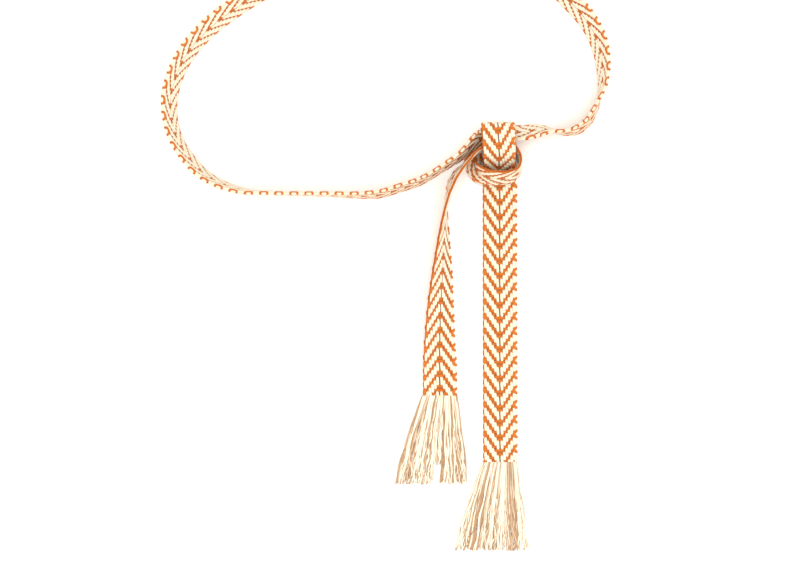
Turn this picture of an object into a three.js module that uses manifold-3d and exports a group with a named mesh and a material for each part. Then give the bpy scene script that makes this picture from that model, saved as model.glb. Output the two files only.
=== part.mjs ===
// Woven tassel belt: one long patterned band tied in a half knot, with a fanned fringe at each end.
// The loop stands on its edge, the two ends lie flat. Millimetres, +Z up, the surface it rests on is z = 0.
// The origin is under the flat long end, just below the knot.
import * as THREE from 'three';
import Module from 'manifold-3d';

// Sizes of the band
const BAND_WIDTH = 30;
const BAND_THICKNESS = 3;
const LAYER_GAP = 0.8;
const EDGE_POINTS = 5;

// Sizes of the loop and the ends, all along the surface
const LOOP_WIDTH = 365;
const LOOP_DEPTH = 215;
const KNOT_PLACE = 0.2637;
const SHORT_END_LENGTH = 200;
const LONG_END_LENGTH = 236;

// Sizes of the fringes
const FRINGE_LENGTH = 76;
const FRINGE_SPREAD = 64;
const FRINGE_GAP = 0.3;
const FRINGE_HEAD = 4;
const LOCK_THICKNESS = 2.6;
const LOCK_WIDTH = 5.4;
const LOCK_STATIONS = 7;
const FINEST_DETAIL = 0.03;

// Length of one step along the band, in the knot, round the loop and down the ends
const KNOT_STEP = 2.6;
const LOOP_STEP = 9;
const END_STEP = 9;

// Colours
const BAND_COLOUR = 0xe6b07a;
const FRINGE_COLOUR = 0xead9b6;

const RADIANS = Math.PI / 180;
const LAYER = BAND_THICKNESS + LAYER_GAP;

// Short end, from the fringe up to the knot: down is a share of its length, aside in band widths,
// roll turns it from flat on the surface (0) to standing on its edge (90).
const SHORT_END_TOP = 0.99;
const SHORT_END = [
  { down: 1.000, aside: -1.697, roll: 0, layers: 0 },
  { down: 0.960, aside: -1.697, roll: 0, layers: 0 },
  { down: 0.890, aside: -1.700, roll: 8, layers: 0 },
  { down: 0.810, aside: -1.712, roll: 20, layers: 0 },
  { down: 0.710, aside: -1.705, roll: 31, layers: 0 },
  { down: 0.600, aside: -1.686, roll: 42, layers: 0 },
  { down: 0.470, aside: -1.643, roll: 55, layers: 0 },
  { down: 0.380, aside: -1.620, roll: 66, layers: 0 },
  { down: 0.300, aside: -1.592, roll: 75, layers: 0 },
  { down: 0.210, aside: -1.550, roll: 87, layers: 0.1 },
  { down: 0.130, aside: -1.453, roll: 96, layers: 0.4 },
];

// Knot, short end to loop: x and y in band widths, layers of band underneath, turn and rise of the
// line from the lower to the upper edge in degrees, wide as a share of the band width.
const KNOT_WRAP = [
  { x: -1.340, y: 0.416, layers: 0.8, raise: 0, turn: -29, rise: 80, wide: 1.00 },
  { x: -1.133, y: 0.688, layers: 1.4, raise: 0, turn: -40, rise: 83, wide: 1.00 },
  { x: -0.943, y: 0.890, layers: 1.8, raise: 0, turn: -46, rise: 87, wide: 0.96 },
  { x: -0.765, y: 1.083, layers: 1.5, raise: 0, turn: 135, rise: 89, wide: 0.95 },
  { x: -0.538, y: 1.246, layers: 1.0, raise: 0, turn: 130, rise: 88, wide: 0.93 },
  { x: -0.283, y: 1.380, layers: 1.0, raise: 0, turn: 105, rise: 82, wide: 0.92 },
  { x: -0.014, y: 1.411, layers: 1.0, raise: 0, turn: 92, rise: 80, wide: 0.92 },
  { x: 0.212, y: 1.351, layers: 0.7, raise: 0, turn: 85, rise: 82, wide: 0.94 },
  { x: 0.400, y: 1.210, layers: 0.3, raise: 0, turn: 105, rise: 84, wide: 0.97 },
  { x: 0.527, y: 0.997, layers: 0.1, raise: 0, turn: 110, rise: 81, wide: 1.00 },
  { x: 0.542, y: 0.765, layers: 0.7, raise: 0, turn: 107, rise: 77, wide: 1.00 },
  { x: 0.430, y: 0.560, layers: 1.3, raise: 0, turn: 100, rise: 75, wide: 1.00 },
  { x: 0.198, y: 0.459, layers: 1.4, raise: 0, turn: 96, rise: 73, wide: 1.00 },
  { x: -0.057, y: 0.435, layers: 1.5, raise: 0, turn: 94, rise: 72, wide: 1.00 },
  { x: -0.297, y: 0.452, layers: 1.5, raise: 0, turn: 90, rise: 71, wide: 1.00 },
  { x: -0.520, y: 0.530, layers: 1.1, raise: 0, turn: 82, rise: 72, wide: 0.96 },
  { x: -0.660, y: 0.650, layers: 0.4, raise: 0, turn: 60, rise: 66, wide: 0.80 },
  { x: -0.705, y: 0.830, layers: 0.0, raise: 0, turn: 18, rise: 42, wide: 0.64 },
  { x: -0.690, y: 1.040, layers: 0.0, raise: 0, turn: -13, rise: 12, wide: 0.62 },
  { x: -0.609, y: 1.250, layers: 0.0, raise: 0, turn: -38, rise: 0, wide: 0.62 },
  { x: -0.397, y: 1.459, layers: 0.0, raise: 0, turn: -50, rise: 0, wide: 0.60 },
  { x: -0.170, y: 1.635, layers: 0.0, raise: 0, turn: -62, rise: 0, wide: 0.50 },
  { x: 0.071, y: 1.728, layers: 0.0, raise: 0, turn: -78, rise: 26, wide: 0.55 },
  { x: 0.283, y: 1.720, layers: 0.0, raise: 0, turn: -85, rise: 52, wide: 0.75 },
  { x: 0.482, y: 1.705, layers: 0.0, raise: 0, turn: -88, rise: 59, wide: 0.94 },
];

// Loop, from the knot all the way round and back: along and back are shares of the loop's width and
// depth, lean tips the upper edge outwards.
const LOOP = [
  { along: 0.354, back: 0.248, lean: 24, layers: 0 },
  { along: 0.384, back: 0.246, lean: 9, layers: 0 },
  { along: 0.414, back: 0.240, lean: -1, layers: 0 },
  { along: 0.438, back: 0.249, lean: -9, layers: 0 },
  { along: 0.463, back: 0.277, lean: -12, layers: 0 },
  { along: 0.481, back: 0.327, lean: -11, layers: 0 },
  { along: 0.492, back: 0.371, lean: -6, layers: 0 },
  { along: 0.498, back: 0.409, lean: 3, layers: 0 },
  { along: 0.500, back: 0.448, lean: 8, layers: 0 },
  { along: 0.499, back: 0.518, lean: 14, layers: 0 },
  { along: 0.488, back: 0.601, lean: 18, layers: 0 },
  { along: 0.465, back: 0.676, lean: 19, layers: 0 },
  { along: 0.429, back: 0.748, lean: 20, layers: 0 },
  { along: 0.377, back: 0.834, lean: 20, layers: 0 },
  { along: 0.300, back: 0.917, lean: 20, layers: 0 },
  { along: 0.195, back: 0.972, lean: 20, layers: 0 },
  { along: 0.067, back: 0.992, lean: 20, layers: 0 },
  { along: -0.061, back: 0.965, lean: 20, layers: 0 },
  { along: -0.177, back: 0.897, lean: 20, layers: 0 },
  { along: -0.252, back: 0.830, lean: 20, layers: 0 },
  { along: -0.322, back: 0.757, lean: 19, layers: 0 },
  { along: -0.415, back: 0.638, lean: 18, layers: 0 },
  { along: -0.455, back: 0.561, lean: 17, layers: 0 },
  { along: -0.483, back: 0.474, lean: 16, layers: 0 },
  { along: -0.498, back: 0.379, lean: 16, layers: 0 },
  { along: -0.497, back: 0.296, lean: 15, layers: 0 },
  { along: -0.483, back: 0.213, lean: 15, layers: 0 },
  { along: -0.457, back: 0.142, lean: 16, layers: 0 },
  { along: -0.418, back: 0.073, lean: 15, layers: 0 },
  { along: -0.375, back: 0.034, lean: 13, layers: 0 },
  { along: -0.329, back: 0.010, lean: 9, layers: 0 },
  { along: -0.282, back: 0.003, lean: 4, layers: 0 },
  { along: -0.212, back: 0.000, lean: 2, layers: 0 },
  { along: -0.131, back: -0.002, lean: 0, layers: 0 },
  { along: -0.061, back: -0.006, lean: -4, layers: 0 },
  { along: -0.010, back: 0.000, lean: -7, layers: 0 },
  { along: 0.032, back: 0.022, lean: -7, layers: 0 },
  { along: 0.079, back: 0.049, lean: -7, layers: 0 },
  { along: 0.111, back: 0.079, lean: -6, layers: 0.4 },
  { along: 0.141, back: 0.111, lean: -7, layers: 0.8 },
];

// Knot, loop to long end: up to the top of the knot, folded over and down through the wrap.
const KNOT_DROP = [
  { x: -1.133, y: 1.034, layers: 1.2, raise: 0, turn: 133, rise: 81, wide: 1.00 },
  { x: -0.822, y: 1.350, layers: 1.2, raise: 0, turn: 134, rise: 75, wide: 0.97 },
  { x: -0.617, y: 1.530, layers: 1.1, raise: 0.02, turn: 138, rise: 68, wide: 0.90 },
  { x: -0.377, y: 1.600, layers: 1.0, raise: 0.22, turn: 155, rise: 48, wide: 0.83 },
  { x: -0.227, y: 1.690, layers: 1.0, raise: 0.47, turn: 169, rise: 19, wide: 0.84 },
  { x: -0.150, y: 1.770, layers: 1.0, raise: 0.60, turn: 177, rise: 7, wide: 0.90 },
  { x: -0.133, y: 1.850, layers: 1.0, raise: 0.68, turn: 180, rise: 2, wide: 0.93 },
  { x: -0.133, y: 1.925, layers: 1.0, raise: 0.83, turn: 180, rise: 0, wide: 0.94 },
  { x: -0.130, y: 1.850, layers: 1.0, raise: 0.970, turn: 180, rise: 0, wide: 0.95 },
  { x: -0.122, y: 1.700, layers: 1.0, raise: 0.995, turn: 180, rise: 0, wide: 0.95 },
  { x: -0.110, y: 1.473, layers: 1.0, raise: 0.990, turn: 180, rise: 0, wide: 0.95 },
  { x: -0.094, y: 1.230, layers: 1.0, raise: 0.980, turn: 180, rise: 0, wide: 0.95 },
  { x: -0.080, y: 1.030, layers: 1.0, raise: 0.850, turn: 180, rise: 0, wide: 0.94 },
  { x: -0.066, y: 0.820, layers: 1.0, raise: 0.540, turn: 180, rise: 0, wide: 0.92 },
  { x: -0.048, y: 0.630, layers: 0.6, raise: 0.200, turn: 180, rise: 0, wide: 0.91 },
  { x: -0.020, y: 0.470, layers: 0.1, raise: 0.020, turn: 180, rise: 0, wide: 0.93 },
  { x: 0.000, y: 0.300, layers: 0.0, raise: 0.000, turn: 180, rise: 0, wide: 1.00 },
  { x: 0.000, y: 0.150, layers: 0.0, raise: 0.000, turn: 180, rise: 0, wide: 1.00 },
];

// Long end, from the knot down to its fringe, flat on the surface.
const LONG_END_TOP = 0.312;
const LONG_END = [
  { down: 0.06, aside: 0.000, roll: 180, layers: 0 },
  { down: 0.35, aside: 0.000, roll: 180, layers: 0 },
  { down: 0.70, aside: 0.006, roll: 180, layers: 0 },
  { down: 1.00, aside: 0.010, roll: 180, layers: 0 },
];

// Locks of the fringes: root is a share of the band width, tip a share of the spread, long a share of
// the fringe length, sway bends the lock sideways in lock widths, thick is a share of the thickness.
const SHORT_LOCKS = [
  { root: -0.44, tip: -0.590, long: 0.90, sway: -0.6, thick: 0.90 },
  { root: -0.38, tip: -0.520, long: 0.95, sway: -0.2, thick: 1.05 },
  { root: -0.31, tip: -0.450, long: 0.97, sway: -0.5, thick: 0.95 },
  { root: -0.24, tip: -0.380, long: 0.97, sway: 0.2, thick: 1.10 },
  { root: -0.17, tip: -0.305, long: 0.99, sway: -0.3, thick: 0.92 },
  { root: -0.10, tip: -0.230, long: 1.00, sway: 0.3, thick: 1.06 },
  { root: -0.03, tip: -0.160, long: 0.99, sway: -0.2, thick: 0.95 },
  { root: 0.04, tip: -0.045, long: 0.78, sway: 0.2, thick: 1.08 },
  { root: 0.12, tip: 0.060, long: 0.99, sway: -0.3, thick: 0.94 },
  { root: 0.19, tip: 0.140, long: 1.00, sway: 0.3, thick: 1.05 },
  { root: 0.27, tip: 0.215, long: 0.98, sway: 0.4, thick: 0.93 },
  { root: 0.35, tip: 0.290, long: 0.95, sway: 0.7, thick: 1.04 },
  { root: 0.43, tip: 0.360, long: 0.96, sway: 1.0, thick: 0.90 },
];
const LONG_LOCKS = [
  { root: -0.44, tip: -0.590, long: 0.93, sway: -0.9, thick: 0.92 },
  { root: -0.37, tip: -0.505, long: 0.95, sway: -0.8, thick: 1.06 },
  { root: -0.30, tip: -0.420, long: 0.97, sway: -0.4, thick: 0.94 },
  { root: -0.23, tip: -0.335, long: 0.99, sway: 0.2, thick: 1.08 },
  { root: -0.155, tip: -0.250, long: 1.00, sway: -0.3, thick: 0.95 },
  { root: -0.08, tip: -0.165, long: 1.00, sway: 0.3, thick: 1.04 },
  { root: -0.01, tip: -0.080, long: 1.00, sway: -0.2, thick: 0.93 },
  { root: 0.06, tip: 0.000, long: 1.00, sway: 0.2, thick: 1.06 },
  { root: 0.13, tip: 0.080, long: 1.00, sway: -0.2, thick: 0.95 },
  { root: 0.21, tip: 0.160, long: 1.01, sway: 0.4, thick: 1.07 },
  { root: 0.29, tip: 0.240, long: 1.00, sway: 0.7, thick: 0.94 },
  { root: 0.37, tip: 0.310, long: 0.98, sway: 0.9, thick: 1.05 },
  { root: 0.44, tip: 0.380, long: 0.96, sway: 1.1, thick: 0.91 },
];

// Outline of a lock, going round: side is a share of half its width, up a share of its height.
const LOCK_SECTION = [
  { side: 1.0, up: 0.0 },
  { side: 1.0, up: 0.5 },
  { side: 0.55, up: 1.0 },
  { side: -0.55, up: 1.0 },
  { side: -1.0, up: 0.5 },
  { side: -1.0, up: 0.0 },
];

// Height of the band's middle when its lower edge or face rests at the given level.
function restingHeight(row, rise) {
  const width = BAND_WIDTH * (row.wide ?? 1);
  const level = row.layers * LAYER + (row.raise ?? 0) * BAND_WIDTH;
  return level + BAND_THICKNESS / 2 + (width / 2 - BAND_THICKNESS / 2) * Math.abs(Math.sin(rise));
}

// Unit line across the band, from its lower to its upper edge.
function acrossFromTurn(turn, rise) {
  return new THREE.Vector3(
    Math.cos(turn) * Math.cos(rise),
    Math.sin(turn) * Math.cos(rise),
    Math.sin(rise),
  );
}

function knotRow(row) {
  const rise = row.rise * RADIANS;
  return {
    point: new THREE.Vector3(row.x * BAND_WIDTH, row.y * BAND_WIDTH, restingHeight(row, rise)),
    across: acrossFromTurn(row.turn * RADIANS, rise),
    wide: row.wide,
    step: KNOT_STEP,
  };
}

// Rows of an end or of the loop say how the band rolls about its own way along the surface.
function rolledRows(places, rows, rolls, step) {
  return rows.map((row, index) => {
    const before = places[Math.max(index - 1, 0)];
    const after = places[Math.min(index + 1, places.length - 1)];
    const heading = Math.atan2(after.y - before.y, after.x - before.x);
    const roll = rolls[index] * RADIANS;
    const left = heading + Math.PI / 2;
    const across = new THREE.Vector3(
      Math.cos(left) * Math.cos(roll),
      Math.sin(left) * Math.cos(roll),
      Math.sin(roll),
    );
    const point = new THREE.Vector3(places[index].x, places[index].y, restingHeight(row, roll));
    return { point, across, wide: 1, step };
  });
}

function endRows(rows, top, length) {
  const places = rows.map((row) => new THREE.Vector2(
    row.aside * BAND_WIDTH,
    top * BAND_WIDTH - row.down * length,
  ));
  return rolledRows(places, rows, rows.map((row) => row.roll), END_STEP);
}

function loopRows() {
  const places = LOOP.map((row) => new THREE.Vector2(
    (row.along - KNOT_PLACE) * LOOP_WIDTH,
    row.back * LOOP_DEPTH,
  ));
  return rolledRows(places, LOOP, LOOP.map((row) => 90 + row.lean), LOOP_STEP);
}

const route = [
  ...endRows(SHORT_END, SHORT_END_TOP, SHORT_END_LENGTH),
  ...KNOT_WRAP.map(knotRow),
  ...loopRows(),
  ...KNOT_DROP.map(knotRow),
  ...endRows(LONG_END, LONG_END_TOP, LONG_END_LENGTH),
];

// Smooth value between two rows, with slopes that allow for uneven spacing.
function smooth(values, spans, index, share) {
  const slope = (at) => {
    const back = Math.max(at - 1, 0);
    const front = Math.min(at + 1, values.length - 1);
    if (back === at) return (values[front] - values[at]) / spans[at];
    if (front === at) return (values[at] - values[back]) / spans[back];
    const before = (values[at] - values[back]) / spans[back];
    const after = (values[front] - values[at]) / spans[at];
    return (before * spans[at] + after * spans[back]) / (spans[at] + spans[back]);
  };
  const span = spans[index];
  const squared = share * share;
  const cubed = squared * share;
  return (2 * cubed - 3 * squared + 1) * values[index]
    + (cubed - 2 * squared + share) * span * slope(index)
    + (3 * squared - 2 * cubed) * values[index + 1]
    + (cubed - squared) * span * slope(index + 1);
}

// Stations along the band: middle, line across, facing and width.
function bandStations(rows) {
  const spans = rows.slice(1).map((row, index) => row.point.distanceTo(rows[index].point));
  const columns = ['x', 'y', 'z'];
  const points = columns.map((key) => rows.map((row) => row.point[key]));
  const acrosses = columns.map((key) => rows.map((row) => row.across[key]));
  const wides = rows.map((row) => row.wide);
  const stations = [];
  spans.forEach((span, index) => {
    const step = Math.min(rows[index].step, rows[index + 1].step);
    const count = Math.max(1, Math.round(span / step));
    const last = index === spans.length - 1 ? count : count - 1;
    for (let part = 0; part <= last; part += 1) {
      const share = part / count;
      stations.push({
        middle: new THREE.Vector3(...points.map((values) => smooth(values, spans, index, share))),
        across: new THREE.Vector3(...acrosses.map((values) => smooth(values, spans, index, share))),
        wide: smooth(wides, spans, index, share),
      });
    }
  });
  stations.forEach((station, index) => {
    const before = stations[Math.max(index - 1, 0)].middle;
    const after = stations[Math.min(index + 1, stations.length - 1)].middle;
    const along = new THREE.Vector3().subVectors(after, before).normalize();
    station.across.addScaledVector(along, -station.across.dot(along)).normalize();
    const reach = (BAND_WIDTH * station.wide - BAND_THICKNESS) / 2;
    const lowest = BAND_THICKNESS / 2 + reach * Math.abs(station.across.z);
    station.middle.z = Math.max(station.middle.z, lowest);
    station.facing = new THREE.Vector3().crossVectors(along, station.across).normalize();
  });
  return stations;
}

// Rounded section of the band, going round from the middle of one face.
function bandSection(width) {
  const radius = BAND_THICKNESS / 2;
  const reach = width / 2 - radius;
  const corners = [];
  [1, -1].forEach((side) => {
    corners.push(new THREE.Vector2(0, -side * radius));
    for (let point = 0; point < EDGE_POINTS; point += 1) {
      const angle = (-90 + (180 * point) / (EDGE_POINTS - 1)) * RADIANS;
      corners.push(new THREE.Vector2(
        side * (reach + radius * Math.cos(angle)),
        side * radius * Math.sin(angle),
      ));
    }
  });
  return corners;
}

// Closed skin over rings of points, with a fan over each end.
function skinOverRings(rings) {
  const positions = [];
  const indices = [];
  const size = rings[0].length;
  rings.forEach((ring) => ring.forEach((point) => positions.push(point.x, point.y, point.z)));
  for (let ring = 0; ring < rings.length - 1; ring += 1) {
    for (let side = 0; side < size; side += 1) {
      const here = ring * size + side;
      const next = ring * size + ((side + 1) % size);
      indices.push(here, next, next + size);
      indices.push(here, next + size, here + size);
    }
  }
  const end = (rings.length - 1) * size;
  for (let side = 1; side < size - 1; side += 1) {
    indices.push(0, side + 1, side);
    indices.push(end, end + side, end + side + 1);
  }
  const geometry = new THREE.BufferGeometry();
  geometry.setAttribute('position', new THREE.Float32BufferAttribute(positions, 3));
  geometry.setIndex(indices);
  geometry.computeVertexNormals();
  return geometry;
}

function bandGeometry() {
  const rings = bandStations(route).map((station) => (
    bandSection(BAND_WIDTH * station.wide).map((corner) => (
      station.middle.clone()
        .addScaledVector(station.across, corner.x)
        .addScaledVector(station.facing, corner.y)
    ))
  ));
  return skinOverRings(rings);
}

// One lock of yarn lying on the surface, widest a little way down and tapering to its cut tip.
function lockGeometry(lock, start) {
  const root = start.x + lock.root * (BAND_WIDTH - LOCK_WIDTH);
  const tip = start.x + lock.tip * FRINGE_SPREAD;
  const length = lock.long * FRINGE_LENGTH - FRINGE_HEAD / 2;
  const rings = [];
  for (let station = 0; station < LOCK_STATIONS; station += 1) {
    const share = station / (LOCK_STATIONS - 1);
    const bend = Math.sin(share * Math.PI) * lock.sway * LOCK_WIDTH * 0.5;
    const fan = share * (1.3 - 0.3 * share);
    const x = root + (tip - root) * fan + bend;
    const y = start.y - FRINGE_HEAD / 2 - share * length;
    const swell = Math.sin(Math.min(share * 1.15, 1) * Math.PI);
    const width = LOCK_WIDTH * (0.62 + 0.46 * swell - 0.12 * share);
    const height = LOCK_THICKNESS * lock.thick * (0.85 + 0.3 * swell - 0.25 * share);
    rings.push(LOCK_SECTION.map((corner) => new THREE.Vector3(
      x + (corner.side * width) / 2,
      y,
      corner.up * height,
    )));
  }
  return skinOverRings(rings);
}

const wasm = await Module();
wasm.setup();

function toSolid(geometry) {
  const mesh = new wasm.Mesh({
    numProp: 3,
    vertProperties: new Float32Array(geometry.attributes.position.array),
    triVerts: new Uint32Array(geometry.index.array),
  });
  return new wasm.Manifold(mesh);
}

function toGeometry(solid) {
  const mesh = solid.getMesh();
  const geometry = new THREE.BufferGeometry();
  geometry.setAttribute('position', new THREE.BufferAttribute(mesh.vertProperties, 3));
  geometry.setIndex(new THREE.BufferAttribute(mesh.triVerts, 1));
  geometry.computeVertexNormals();
  return geometry;
}

// Head of a fringe: the last bound rows of yarn, as wide as the band.
function headGeometry(start) {
  const section = bandSection(BAND_WIDTH);
  const rings = [0, 1].map((share) => section.map((corner) => new THREE.Vector3(
    start.x + corner.x,
    start.y - share * FRINGE_HEAD,
    corner.y + BAND_THICKNESS / 2,
  )));
  return skinOverRings(rings);
}

function fringeGeometry(locks, start) {
  let solid = toSolid(headGeometry(start));
  locks.forEach((lock) => {
    solid = solid.add(toSolid(lockGeometry(lock, start)));
  });
  return toGeometry(solid.simplify(FINEST_DETAIL));
}

const first = route[0].point;
const last = route[route.length - 1].point;
const shortStart = new THREE.Vector2(first.x, first.y - FRINGE_GAP);
const longStart = new THREE.Vector2(last.x, last.y - FRINGE_GAP);

function named(name, geometry, colour, roughness) {
  const material = new THREE.MeshStandardMaterial({ color: colour, roughness, metalness: 0 });
  const mesh = new THREE.Mesh(geometry, material);
  mesh.name = name;
  return mesh;
}

const belt = new THREE.Group();
belt.name = 'woven_tassel_belt';
belt.add(named('woven_band', bandGeometry(), BAND_COLOUR, 0.85));
belt.add(named('short_end_fringe', fringeGeometry(SHORT_LOCKS, shortStart), FRINGE_COLOUR, 0.9));
belt.add(named('long_end_fringe', fringeGeometry(LONG_LOCKS, longStart), FRINGE_COLOUR, 0.9));

export default belt;
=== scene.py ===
"""Woven tassel belt: cream warp cords and orange weft woven in chevrons, tied in a half knot."""
import math

import bpy
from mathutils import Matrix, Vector


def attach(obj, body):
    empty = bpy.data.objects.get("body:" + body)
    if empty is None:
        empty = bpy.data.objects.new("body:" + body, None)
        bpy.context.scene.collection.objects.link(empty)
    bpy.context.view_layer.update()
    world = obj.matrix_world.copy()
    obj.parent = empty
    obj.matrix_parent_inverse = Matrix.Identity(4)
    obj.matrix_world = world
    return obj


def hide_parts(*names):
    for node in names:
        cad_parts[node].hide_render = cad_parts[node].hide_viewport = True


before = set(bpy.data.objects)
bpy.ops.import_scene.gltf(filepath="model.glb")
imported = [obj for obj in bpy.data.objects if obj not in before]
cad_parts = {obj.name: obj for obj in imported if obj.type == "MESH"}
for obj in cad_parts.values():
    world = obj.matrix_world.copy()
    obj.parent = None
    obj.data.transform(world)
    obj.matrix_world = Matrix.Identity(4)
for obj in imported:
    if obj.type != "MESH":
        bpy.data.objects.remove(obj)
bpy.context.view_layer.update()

bl_info = {
    "name": "Woven Tassel Belt",
    "version": (1, 0, 0),
    "blender": (4, 5, 0),
    "location": "View3D > Sidebar > Belt",
    "description": "Weaves a chevron belt along its path and adds its two fringes",
    "category": "Add Mesh",
}

MM = 0.001

# Path of the band, as in the solid model: shares of the named sizes, one row for each section.
LAYER_GAP = 0.8 * MM
LOOP_WIDTH = 365 * MM
LOOP_DEPTH = 215 * MM
KNOT_PLACE = 0.2637
SHORT_END_LENGTH = 200 * MM
LONG_END_LENGTH = 236 * MM
SHORT_END_TOP = 0.99
LONG_END_TOP = 0.312

# Distance from one station of the band to the next
KNOT_STEP = 1.2 * MM
PLAIN_STEP = 3 * MM

# Down is a share of the end's length, aside in band widths, roll in degrees from flat to standing.
END_COLUMNS = ("down", "aside", "roll", "layers")
SHORT_END = (
    (1.000, -1.697, 0, 0),
    (0.960, -1.697, 0, 0),
    (0.890, -1.700, 8, 0),
    (0.810, -1.712, 20, 0),
    (0.710, -1.705, 31, 0),
    (0.600, -1.686, 42, 0),
    (0.470, -1.643, 55, 0),
    (0.380, -1.620, 66, 0),
    (0.300, -1.592, 75, 0),
    (0.210, -1.550, 87, 0.1),
    (0.130, -1.453, 96, 0.4),
)
LONG_END = (
    (0.06, 0.000, 180, 0),
    (0.35, 0.000, 180, 0),
    (0.70, 0.006, 180, 0),
    (1.00, 0.010, 180, 0),
)

# X, y and raise in band widths, layers of band underneath, turn and rise of the line from the
# lower to the upper edge in degrees, wide as a share of the band width.
KNOT_COLUMNS = ("x", "y", "layers", "raise", "turn", "rise", "wide")
KNOT_WRAP = (
    (-1.340, 0.416, 0.8, 0, -29, 80, 1.00),
    (-1.133, 0.688, 1.4, 0, -40, 83, 1.00),
    (-0.943, 0.890, 1.8, 0, -46, 87, 0.96),
    (-0.765, 1.083, 1.5, 0, 135, 89, 0.95),
    (-0.538, 1.246, 1.0, 0, 130, 88, 0.93),
    (-0.283, 1.380, 1.0, 0, 105, 82, 0.92),
    (-0.014, 1.411, 1.0, 0, 92, 80, 0.92),
    (0.212, 1.351, 0.7, 0, 85, 82, 0.94),
    (0.400, 1.210, 0.3, 0, 105, 84, 0.97),
    (0.527, 0.997, 0.1, 0, 110, 81, 1.00),
    (0.542, 0.765, 0.7, 0, 107, 77, 1.00),
    (0.430, 0.560, 1.3, 0, 100, 75, 1.00),
    (0.198, 0.459, 1.4, 0, 96, 73, 1.00),
    (-0.057, 0.435, 1.5, 0, 94, 72, 1.00),
    (-0.297, 0.452, 1.5, 0, 90, 71, 1.00),
    (-0.520, 0.530, 1.1, 0, 82, 72, 0.96),
    (-0.660, 0.650, 0.4, 0, 60, 66, 0.80),
    (-0.705, 0.830, 0.0, 0, 18, 42, 0.64),
    (-0.690, 1.040, 0.0, 0, -13, 12, 0.62),
    (-0.609, 1.250, 0.0, 0, -38, 0, 0.62),
    (-0.397, 1.459, 0.0, 0, -50, 0, 0.60),
    (-0.170, 1.635, 0.0, 0, -62, 0, 0.50),
    (0.071, 1.728, 0.0, 0, -78, 26, 0.55),
    (0.283, 1.720, 0.0, 0, -85, 52, 0.75),
    (0.482, 1.705, 0.0, 0, -88, 59, 0.94),
)
KNOT_DROP = (
    (-1.133, 1.034, 1.2, 0.00, 133, 81, 1.00),
    (-0.822, 1.350, 1.2, 0.00, 134, 75, 0.97),
    (-0.617, 1.530, 1.1, 0.02, 138, 68, 0.90),
    (-0.377, 1.600, 1.0, 0.22, 155, 48, 0.83),
    (-0.227, 1.690, 1.0, 0.47, 169, 19, 0.84),
    (-0.150, 1.770, 1.0, 0.60, 177, 7, 0.90),
    (-0.133, 1.850, 1.0, 0.68, 180, 2, 0.93),
    (-0.133, 1.925, 1.0, 0.83, 180, 0, 0.94),
    (-0.130, 1.850, 1.0, 0.970, 180, 0, 0.95),
    (-0.122, 1.700, 1.0, 0.995, 180, 0, 0.95),
    (-0.110, 1.473, 1.0, 0.990, 180, 0, 0.95),
    (-0.094, 1.230, 1.0, 0.980, 180, 0, 0.95),
    (-0.080, 1.030, 1.0, 0.850, 180, 0, 0.94),
    (-0.066, 0.820, 1.0, 0.540, 180, 0, 0.92),
    (-0.048, 0.630, 0.6, 0.200, 180, 0, 0.91),
    (-0.020, 0.470, 0.1, 0.020, 180, 0, 0.93),
    (0.000, 0.300, 0.0, 0.000, 180, 0, 1.00),
    (0.000, 0.150, 0.0, 0.000, 180, 0, 1.00),
)

# Along and back are shares of the loop's width and depth, lean tips the upper edge outwards.
LOOP_COLUMNS = ("along", "back", "lean", "layers")
LOOP = (
    (0.354, 0.248, 24, 0),
    (0.384, 0.246, 9, 0),
    (0.414, 0.240, -1, 0),
    (0.438, 0.249, -9, 0),
    (0.463, 0.277, -12, 0),
    (0.481, 0.327, -11, 0),
    (0.492, 0.371, -6, 0),
    (0.498, 0.409, 3, 0),
    (0.500, 0.448, 8, 0),
    (0.499, 0.518, 14, 0),
    (0.488, 0.601, 18, 0),
    (0.465, 0.676, 19, 0),
    (0.429, 0.748, 20, 0),
    (0.377, 0.834, 20, 0),
    (0.300, 0.917, 20, 0),
    (0.195, 0.972, 20, 0),
    (0.067, 0.992, 20, 0),
    (-0.061, 0.965, 20, 0),
    (-0.177, 0.897, 20, 0),
    (-0.252, 0.830, 20, 0),
    (-0.322, 0.757, 19, 0),
    (-0.415, 0.638, 18, 0),
    (-0.455, 0.561, 17, 0),
    (-0.483, 0.474, 16, 0),
    (-0.498, 0.379, 16, 0),
    (-0.497, 0.296, 15, 0),
    (-0.483, 0.213, 15, 0),
    (-0.457, 0.142, 16, 0),
    (-0.418, 0.073, 15, 0),
    (-0.375, 0.034, 13, 0),
    (-0.329, 0.010, 9, 0),
    (-0.282, 0.003, 4, 0),
    (-0.212, 0.000, 2, 0),
    (-0.131, -0.002, 0, 0),
    (-0.061, -0.006, -4, 0),
    (-0.010, 0.000, -7, 0),
    (0.032, 0.022, -7, 0),
    (0.079, 0.049, -7, 0),
    (0.111, 0.079, -6, 0.4),
    (0.141, 0.111, -7, 0.8),
)

# Rows of KNOT_WRAP and KNOT_DROP, both out of sight in the knot, where the open edge changes over.
WRAP_ROW_OF_CHANGE = 20
DROP_ROW_OF_CHANGE = 3

# Dark ground between the yarns, a sheet of painted shade that shows through the gaps, as shares of
# the band's width and thickness
GROUND_WIDTH = 0.87
GROUND_THICKNESS = 0.2

# Yarns along the edges: how far the straight ones lie outside the cords and the hooks inside
# them, how thick the edge cord and the hooks are for their width, and the rim for the band.
STRAIGHT_OUTSIDE = 0.05 * MM
HOOKS_INSIDE = 0.25 * MM
EDGE_CORD_FLATNESS = 0.85
HOOK_FLATNESS = 0.68
RIM_THICKNESS = 0.75

# A straight cord, as inputs of the tree of the warp cords
STRAIGHT_CORD = {"Cords": 1, "Middle Gap": 0.0, "Lift": 0.0, "Slant": 0.0, "Steps": 5, "Sides": 6}

# Plies across a warp cord, and along a pick
PLIES_PER_CORD = 4
WEFT_PLY = 0.62 * MM

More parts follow.
